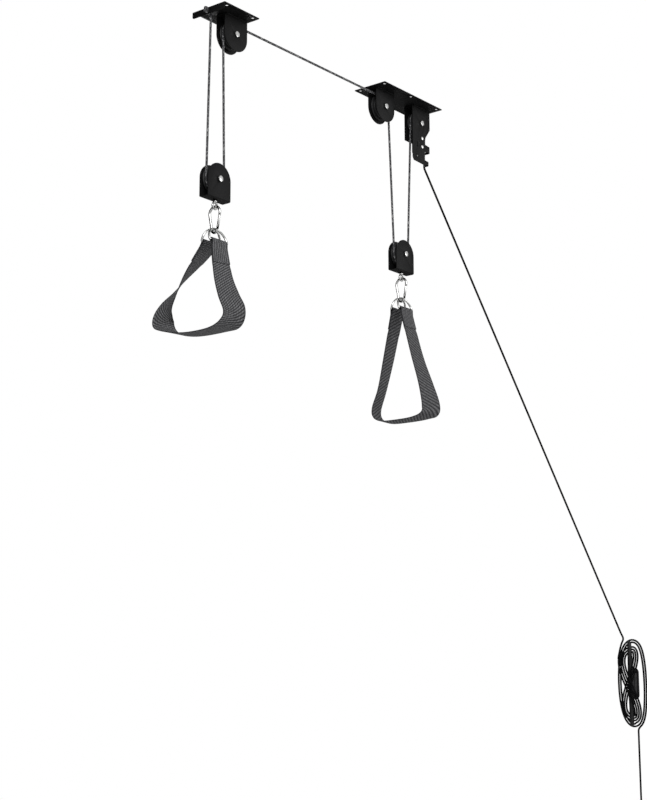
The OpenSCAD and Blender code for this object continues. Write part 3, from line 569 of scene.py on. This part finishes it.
def set_out(piece_mesh, spots, finish):
    """Repeats a small mesh at (place in millimetres, rotation matrix) spots; returns a plain mesh."""
    pattern = loose(piece_mesh)
    places = bpy.data.meshes.new("places")
    places.from_pydata([tuple(V(p) * MM) for p, _ in spots], [], [])
    turns = places.attributes.new("turn", "FLOAT_VECTOR", "POINT")
    turns.data.foreach_set("vector", np.array([tuple(r.to_euler()) for _, r in spots], float).ravel())
    carrier = loose(places)
    maker = carrier.modifiers.new("set_out", "NODES")
    maker.node_group = SET_OUT
    inputs = {s.name: s.identifier for s in SET_OUT.interface.items_tree if s.in_out == "INPUT"}
    maker[inputs["Piece"]] = pattern
    maker[inputs["Size"]] = 1.0
    maker[inputs["Finish"]] = finish.material
    bpy.context.view_layer.update()
    mesh = bpy.data.meshes.new_from_object(carrier.evaluated_get(bpy.context.evaluated_depsgraph_get()))
    bpy.data.objects.remove(carrier)
    bpy.data.objects.remove(pattern)
    mesh.materials.clear()
    return mesh


# Rope


def rope_mesh(path, start=0.0):
    return round_bar(path, ROPE_R, 14, start * MM)


def rope_piece(name, path, node, start=0.0, finish=None, body="hoist_frame"):
    return add(name, rope_mesh(path, start), [finish or ROPE], body, [node], 60)


def stopper_knot(centre, along, size, twist=0.0):
    """Drawn-up overhand knot round centre, with its own axis along one direction."""
    axis = V(along).normalized()
    side = axis.cross(V((0, 0, 1)) if abs(axis.z) < 0.9 else V((0, 1, 0))).normalized()
    up = axis.cross(side)
    path = []
    for i in range(72):
        t = 2 * math.pi * i / 72
        x = math.sin(t + twist) + 2 * math.sin(2 * t + twist)
        y = math.cos(t + twist) - 2 * math.cos(2 * t + twist)
        path.append(V(centre) + size * (side * x + up * y - axis * (1.25 * math.sin(3 * t))))
    return round_bar(path, ROPE_R, 12, closed=True)


def build_rope():
    bodies = {"front": "front_block", "rear": "rear_block"}
    foot = ANCHOR_Z - ANCHOR_BEND
    turn_x = ANCHOR_X - ANCHOR_BEND
    runs = {
        "front_left": ((ANCHOR_X, 0, foot), "front", -1),
        "front_right": ((FRONT_X - LINE_R, 0, AXLE_Z), "front", 1),
        "rear_left": ((INNER_X + LINE_R, 0, AXLE_Z), "rear", -1),
        "rear_right": ((OUTER_X - LINE_R, 0, AXLE_Z), "rear", 1)}
    knot = (PLATE_X - STOPPER_OUT, 0, ANCHOR_Z)
    anchor = chained(straight(knot, (turn_x, 0, ANCHOR_Z), 3),
                     arc((turn_x, 0, foot), ANCHOR_BEND, 90, -90, 9))
    stub = straight(knot, (knot[0] - 2, -4, knot[2] - 9), 3)
    lip = joined(rope_mesh(anchor), rope_mesh(stub), stopper_knot(knot, (1, 0, 0), 1.6, 0.4))
    add("rope_at_lip", lip, [ROPE], "hoist_frame", ["rope_anchor"], 60)
    for name, (top, side, sign) in runs.items():
        x, z = BLOCKS[side]
        low = V((x + sign * LINE_R, 0, z))
        piece = rope_piece(f"rope_{name}_run", straight(top, low, 6), f"rope_{name}", body=None)
        tuple(V(top) * MM)
        tuple(low * MM)
        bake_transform(piece)
    for side, (x, z) in BLOCKS.items():
        rope_piece(f"rope_{side}_bight_turn", arc((x, 0, z), LINE_R, 180, 180), f"rope_{side}_bight",
                   body=bodies[side])
    over = chained(arc((FRONT_X, 0, AXLE_Z), LINE_R, 180, -90),
                   straight((FRONT_X, 0, AXLE_Z + LINE_R), (INNER_X, 0, AXLE_Z + LINE_R), 12),
                   arc((INNER_X, 0, AXLE_Z), LINE_R, 90, -90))
    rope_piece("rope_under_ceiling", over, "rope_overhead")
    lock = chained(arc((OUTER_X, 0, AXLE_Z), LINE_R, 180, -180),
                   straight((EXIT_X, 0, AXLE_Z), (EXIT_X, 0, LOCK_OUT_Z), 6))
    rope_piece("rope_through_lock", lock, "rope_lock_run")
    build_cleat_rope()


def winding_point(angle):
    """Place on the winding: crossed loops laid side by side, then open loops outside them."""
    turn, a = angle / 360, math.radians(angle)
    s, c = math.sin(a), math.cos(a)
    if turn < EIGHT_LOOPS:
        out = WIND_PITCH * (EIGHT_LOOPS / 2 - turn)
        t = V((2 * CROSS_W * math.cos(2 * a), -CROSS_H * s)).normalized()
        y, z = CROSS_W * math.sin(2 * a) - out * t[1], CROSS_H * c + out * t[0]
        rise = 30 * abs(s) + (ROPE_R + 0.65) * s * abs(s)
    else:
        out = WIND_PITCH * (turn - EIGHT_LOOPS)
        t = V((-SIDE_W * c, -SIDE_H * s)).normalized()
        y, z = -SIDE_W * s + out * t[1], SIDE_H * (1 + 0.2 * s * s) * c - out * t[0]
        rise = 8 * s * s
    return V((WALL_X - 12 - rise, y, CLEAT_Z + z))


def build_cleat_rope():
    wind = [winding_point(a) for a in np.arange(45, 1966, 5)]
    way_in = (winding_point(60) - winding_point(45)).normalized()
    way_out = (winding_point(1965) - winding_point(1950)).normalized()
    bend = [V((EXIT_X + 12 * (1 - math.cos(math.radians(a))), 0, LOCK_OUT_Z - 12 * math.sin(math.radians(a))))
            for a in range(0, 41, 5)]
    entry = [V((WALL_X + x, y, CLEAT_Z + z)) for x, y, z in ((-38, 14, 131), (-36, 21, 117), (-35, 27, 102))]
    before = entry[0] + 20 * (bend[-1] - entry[0]).normalized()
    ends = smooth_path([before, *entry, wind[0] - 6 * way_in, wind[0]], 8)
    down = chained(bend, straight(bend[-1], before, 10), ends)
    # these runs and the free end use the darker rope copy, which is painted shade
    rope_piece("rope_down_to_cleat", down, "rope_to_cleat", 900, ROPE_IN_PAINTED_SHADE)
    rope_piece("rope_on_cleat", wind, "rope_winding", 2500, ROPE_IN_PAINTED_SHADE)
    drop = ((0.4, 4.2, -4.2), (0.4, 5.6, -6.7), (0.4, 6.5, -9.5), (0.3, 6.8, -12.4))
    turns = [V((0, 0, 0)), 3 * way_out, *map(V, drop)]
    curl = smooth_path([wind[-1] + p for p in turns], 4)
    end = wind[-1] + V((0, 6.8, -TAIL_L))
    tail = chained(curl, straight(curl[-1], end, 8))
    piece = rope_piece("rope_free_end", tail, "rope_tail", 5000, ROPE_IN_PAINTED_SHADE)
    knot = joined(rope_mesh(straight(end + V((0, 0, 4)), end - V((0, 0, 10.5)), 3), 5300),
                  stopper_knot(end - V((0, 0, 5.5)), (0, 0, 1), 1.6))
    knot = add("knot_on_free_end", knot, [ROPE_IN_PAINTED_SHADE], "hoist_frame", (), 60)
    tuple(V(tail[0]) * MM)
    length_of(tail) * MM
    [tuple(V(p) * MM) for p in tail]


# Webbing


def strip(stations, thickness):
    """Woven strip along (place, width direction) stations, with round selvedges; returns a mesh."""
    path = np.array([tuple(p) for p, _ in stations], float)
    ahead = np.gradient(path, axis=0)
    ahead /= np.linalg.norm(ahead, axis=1)[:, None]
    half, thick = WEB_W / 2, thickness / 2
    outline = [(-half + thick, -thick), *[(x, -thick) for x in np.linspace(-half + 3, half - 3, 9)],
               (half - thick, -thick), (half - 0.3 * thick, -0.7 * thick), (half, 0),
               (half - 0.3 * thick, 0.7 * thick), (half - thick, thick),
               *[(x, thick) for x in np.linspace(half - 3, -half + 3, 9)], (-half + thick, thick),
               (-half + 0.3 * thick, 0.7 * thick), (-half, 0), (-half + 0.3 * thick, -0.7 * thick)]
    n = len(outline)
    verts, along = [], 0.0
    marks = []
    for k, (p, w) in enumerate(stations):
        d = V(ahead[k])
        w = V(w)
        w = (w - d * w.dot(d)).normalized()
        up = w.cross(d)
        if k:
            along += np.linalg.norm(path[k] - path[k - 1]) * MM
        marks.append(along)
        verts += [tuple((V(path[k]) + w * x + up * y) * MM) for x, y in outline]
    faces, lay = [], []
    for k in range(len(stations) - 1):
        for i in range(n):
            j = (i + 1) % n
            faces.append((k * n + i, k * n + j, (k + 1) * n + j, (k + 1) * n + i))
            x0, x1 = outline[i][0] * MM, outline[j][0] * MM
            lay += [(x0, marks[k]), (x1, marks[k]), (x1, marks[k + 1]), (x0, marks[k + 1])]
    for row, order in ((0, reversed(range(n))), (len(stations) - 1, range(n))):
        order = list(order)
        faces.append(tuple(row * n + i for i in order))
        lay += [(outline[i][0] * MM, marks[row]) for i in order]
    mesh = bpy.data.meshes.new("strip")
    mesh.from_pydata(verts, [], faces)
    mesh.uv_layers.new(name="lay").data.foreach_set("uv", np.array(lay).ravel())
    return outward(mesh)


def eased(share):
    share = min(max(share, 0.0), 1.0)
    return share * share * (3 - 2 * share)


class Sling:
    """One sling's middle line, hung between its ring bars: places in millimetres and width directions."""

    def __init__(self, side, shares, turns, width, drop):
        self.side, x_z = side, BLOCKS[side]
        self.base = V((x_z[0], 0, x_z[1] - BAR_DROP))
        self.reach = RING_R + 0.3 + WEB_T / 2
        self.lean = {s: V((0, s * math.sin(RING_TILT), -math.cos(RING_TILT))) for s in (-1, 1)}
        self.bar = {s: self.base + V((0, s * BAR_Y, 0)) for s in (-1, 1)}
        ends = {s: self.bar[s] + self.lean[s] * self.reach for s in (-1, 1)}
        loop = [self.base + V((a * width, b * width, -c * drop)) for a, b, c in shares]
        places = [ends[-1], *loop, ends[1]]
        self.route = np.array(smooth_path([(*p, t) for p, t in zip(places, turns)], 12))
        gaps = np.linalg.norm(np.diff(self.route[:, :3], axis=0), axis=1)
        self.marks = np.concatenate([[0], np.cumsum(gaps)])
        self.length = self.marks[-1]
        self.ends = ends

    def at(self, s):
        """Place, width direction and normal at a distance along; beyond the ends it goes on to the bar."""
        inside = min(max(s, 0.0), self.length)
        x, y, z, turn = (float(np.interp(inside, self.marks, self.route[:, i])) for i in range(4))
        place, turn = V((x, y, z)), math.radians(turn)
        width = V((math.cos(turn), -math.sin(turn), 0))
        if s < 0:
            place, way = self.ends[-1] + self.lean[-1] * s, self.lean[-1]
        elif s > self.length:
            place, way = self.ends[1] - self.lean[1] * (s - self.length), -self.lean[1]
        else:
            a, b = (np.array([np.interp(min(max(inside + h, 0), self.length), self.marks, self.route[:, i])
                              for i in range(3)]) for h in (-1.0, 1.0))
            way = V(b - a).normalized()
        width = (width - way * width.dot(way)).normalized()
        return place, width, width.cross(way)

    def layer(self, s, end, inner):
        """Place on one layer of the doubled webbing near an end, spread apart round the bar."""
        place, width, normal = self.at(s)
        off = s if end < 0 else self.length - s
        lift = 1.05 + (self.reach - 1.05) * (1 - eased((off + self.reach) / 17.8))
        lift *= 1 - eased((off - SEWN_L - 1) / 12)
        face = normal if normal.y * end > 0 else -normal
        return place + face * (lift if inner else -lift), width

    def band(self):
        """The whole webbing: sewn end, round the near bar, the loop, round the far bar, sewn end."""
        close = np.arange(-self.reach, SEWN_L, 1.6)
        near = [self.layer(s, -1, True) for s in close[::-1]]
        out = [self.layer(s, -1, False) for s in close]
        middle = [self.layer(s, -1 if s < self.length / 2 else 1, False)
                  for s in np.arange(SEWN_L + 1, self.length - SEWN_L - 1, 3.2)]
        back = [self.layer(self.length - s, 1, False) for s in close[::-1]]
        far = [self.layer(self.length - s, 1, True) for s in close]
        first, last = self.wrap(-1, near[-1], out[0]), self.wrap(1, back[-1], far[0])
        return near + first + out + middle + back + last + far

    def wrap(self, end, start, stop):
        """Half turn of the webbing over a ring's bar."""
        side = (start[0] - self.bar[end]).normalized()
        return [(self.bar[end] + self.reach * (side * math.cos(t) - self.lean[end] * math.sin(t)), start[1])
                for t in np.linspace(0, math.pi, 18)[1:-1]]

    def stitches(self):
        """Rows of sewing through both layers: a box with a cross, on both faces of each end."""
        lines = [((-20, 17), (20, 17)), ((-20, 47), (20, 47)), ((-20, 17), (-20, 47)), ((20, 17), (20, 47)),
                 ((-20, 17), (20, 47)), ((-20, 47), (20, 17)), ((-22, 13), (22, 13))]
        spots = []
        for end in (-1, 1):
            for (u0, s0), (u1, s1) in lines:
                count = int(math.hypot(u1 - u0, s1 - s0) / 3.3)
                for k in range(count):
                    share = (k + 0.5) / count
                    u, s = u0 + (u1 - u0) * share, s0 + (s1 - s0) * share
                    place, width, normal = self.at(s if end < 0 else self.length - s)
                    way = width.cross(normal) * (-1 if end < 0 else 1)
                    run = (width * (u1 - u0) - way * (s1 - s0) * (-1 if end < 0 else 1)).normalized()
                    for face in (-1, 1):
                        up = normal * face
                        turned_to = Matrix((run, up.cross(run), up)).transposed()
                        spots.append((place + width * u + up * 2.0, turned_to))
        return spots


def build_slings():
    rear = [(0, -0.265, 0.417), (0, -0.425, 0.7), (0, -0.51, 0.89), (0, -0.48, 0.965), (0, -0.3, 0.995),
            (0, 0, 1), (0, 0.3, 0.99), (0, 0.455, 0.945), (0, 0.485, 0.86), (0, 0.375, 0.69), (0, 0.24, 0.4)]
    front = [(0, -0.13, 0.39), (0, -0.215, 0.63), (0.01, -0.29, 0.8), (0.01, -0.265, 0.92), (0, -0.13, 0.985),
             (0, 0.12, 1), (0, 0.4, 0.98), (0, 0.64, 0.915), (0, 0.76, 0.8), (0, 0.725, 0.65), (0, 0.59, 0.5),
             (0, 0.44, 0.345), (0, 0.245, 0.175)]
    rear_turns = [0, 3, 14, 30, 30, 18, 6, 0, -6, -10, -12, -5, 0]
    front_turns = [0, 15, 32, 42, 42, 32, 15, 6, 14, 48, 92, 118, 136, 160, 180]
    for side, shares, turns, width, drop in (("rear", rear, rear_turns, 170, 288),
                                             ("front", front, front_turns, 204, 203)):
        sling = Sling(side, shares, turns, width, drop)
        add(f"{side}_sling_webbing", strip(sling.band(), WEB_T), [WEBBINGS[side]], f"{side}_sling",
            [f"{side}_strap"], 50)
        stitch = turned([(0.1, -1.35), (0.34, -0.95), (0.4, 0), (0.34, 0.95), (0.1, 1.35)], (0, 0, 0), "X", 6)
        sewing = set_out(stitch, sling.stitches(), THREAD)
        add(f"{side}_sling_sewing", sewing, [THREAD], f"{side}_sling", (), 80)


# Hooks, eyes and rings


def build_hook(side):
    x, z = BLOCKS[side]
    dressed(f"{side}_hook", f"{side}_hook", ZINC, bevel=0, smooth=60)
    dressed(f"{side}_gate", f"{side}_gate", ZINC, bevel=0.25)
    dressed(f"{side}_gate_pin", f"{side}_hook", STEEL, bevel=0.2)
    dressed(f"{side}_eye", f"{side}_eye", STEEL, bevel=0.4, smooth=60)
    for place in ("near", "far"):
        dressed(f"{side}_ring_{place}", f"{side}_sling", ZINC, bevel=0, smooth=60)


# The whole hoist


def build_steel():
    for node in ("front_plate", "front_channel", "rear_plate", "rear_inner_channel", "rear_lock_channel"):
        dressed(node, "hoist_frame", COAT, EDGE, 0.5)
    for side in BLOCKS:
        dressed(f"{side}_block", f"{side}_block", COAT, EDGE, 0.5)
        dressed(f"{side}_block_sheave", f"{side}_block_sheave", NYLON, None, 0.3)
        dressed(f"{side}_block_bolt", f"{side}_block", ZINC, None, 0.4)
        dressed(f"{side}_block_nut", f"{side}_block", ZINC, None, 0.4)
        build_hook(side)
    for node in ("front_axle_bolt", "front_axle_nut", "rear_axle_bolts", "rear_axle_nuts", "lock_pins"):
        dressed(node, "hoist_frame", ZINC, None, 0.35)
    dressed("lock_cam", "lock_cam", CAM, None, 0.2)
    for node in ("front_sheave", "rear_inner_sheave", "rear_outer_sheave"):
        dressed(node, node, NYLON, None, 0.3)
    dressed("wall_cleat", "hoist_frame", CASTING, None, 0.8)
    build_details()


def build_details():
    """Weld beads under the plates, and the two lines pressed into the lock's near cheek."""
    beads = []
    for x in (FRONT_X, INNER_X, OUTER_X):
        for y in (-14.2, 14.2):
            path = straight((x - 34, y, -2.6), (x + 34, y, -2.6), 1.0)
            beads.append(round_bar(path, 1.3, 8, radii=[1.25 + 0.18 * math.sin(p.x * 2.1) for p in path]))
    add("weld_beads", joined(*beads), [COAT], "hoist_frame", (), 50)
    lines = [round_bar(straight((x0, -13.45, z0), (x1, -13.45, z1), 4), 0.55, 8)
             for x0, z0, x1, z1 in ((61.5, -93, 73.5, -103.6), (70, -110, 87, -121.6))]
    add("pressed_lines", joined(*lines), [EDGE], "hoist_frame", (), 50)


def seen_rays(tree):
    """1 for the rays that show the surroundings: straight ones, mirrored ones and those through glass."""
    path = tree.nodes.new("ShaderNodeLightPath")
    now = path.outputs["Is Camera Ray"]
    for ray in ("Is Glossy Ray", "Is Transmission Ray"):
        most = tree.nodes.new("ShaderNodeMath")
        most.operation = "MAXIMUM"
        tree.links.new(now, most.inputs[0])
        tree.links.new(path.outputs[ray], most.inputs[1])
        now = most.outputs[0]
    return now


def build_world():
    """Surroundings that are white to look at, and light the hoist at a plain level."""
    world = bpy.data.worlds.new("studio")
    bpy.context.scene.world = world
    world.use_nodes = True
    tree = world.node_tree
    light = tree.nodes["Background"]
    light.inputs["Color"].default_value = (1, 1, 1, 1)
    light.inputs["Strength"].default_value = WORLD_LIGHT
    white = tree.nodes.new("ShaderNodeBackground")
    white.inputs["Color"].default_value = (1, 1, 1, 1)
    white.inputs["Strength"].default_value = 1.0
    mixed = tree.nodes.new("ShaderNodeMixShader")
    for a, b in ((seen_rays(tree), mixed.inputs[0]), (light.outputs[0], mixed.inputs[1]),
                 (white.outputs[0], mixed.inputs[2]),
                 (mixed.outputs[0], tree.nodes["World Output"].inputs["Surface"])):
        tree.links.new(a, b)


def plane(name, size, place, facing, material):
    """Flat card of the stage, size as width and height."""
    w, h = size[0] / 2, size[1] / 2
    mesh = bpy.data.meshes.new(name)
    mesh.from_pydata([(-w, -h, 0), (w, -h, 0), (w, h, 0), (-w, h, 0)], [], [(0, 1, 2, 3)])
    mesh.materials.append(material)
    card = bpy.data.objects.new(name, mesh)
    bpy.context.collection.objects.link(card)
    card.matrix_world = Matrix.Translation(place) @ V(facing).to_track_quat("Z", "Y").to_matrix().to_4x4()
    return card


def build_studio():
    """Pale floor that keeps the shadow, white surroundings, soft lamps and two dark cards for the metal."""
    bpy.context.scene.view_settings.view_transform = "Standard"
    build_world()
    for name, place, aim, size, power in LAMPS:
        data = bpy.data.lights.new(name, "AREA")
        data.shape, data.size, data.energy = "DISK", size, power
        lamp = bpy.data.objects.new(name, data)
        bpy.context.collection.objects.link(lamp)
        facing = (V(aim) - V(place)).to_track_quat("-Z", "Y").to_matrix().to_4x4()
        lamp.matrix_world = Matrix.Translation(place) @ facing
    tone = Finish("floor_paint", (0.85, 0.85, 0.85), 0.9)
    share = Tone(tone, seen_rays(tone.tree)) * 0.5
    glow = tone.node("ShaderNodeEmission", None, (1, 1, 1, 1), 1.0)
    both = tone.node("ShaderNodeMixShader", None, share, tone.surface.outputs[0], glow.outputs[0])
    tone.tree.links.new(both.outputs[0], tone.tree.nodes["Material Output"].inputs["Surface"])
    plane("floor", (12, 12), (0, 0, -2.2), (0, 0, 1), tone.material)
    black = Finish("card_cloth", (0.004, 0.004, 0.004), 0.9, **{"Specular IOR Level": 0.0})
    for name, size, place, facing in CARDS:
        card = plane(name, size, place, facing, black.material)
        card.visible_camera = card.visible_diffuse = card.visible_transmission = card.visible_shadow = False


build_rope()
build_slings()
build_steel()
build_studio()
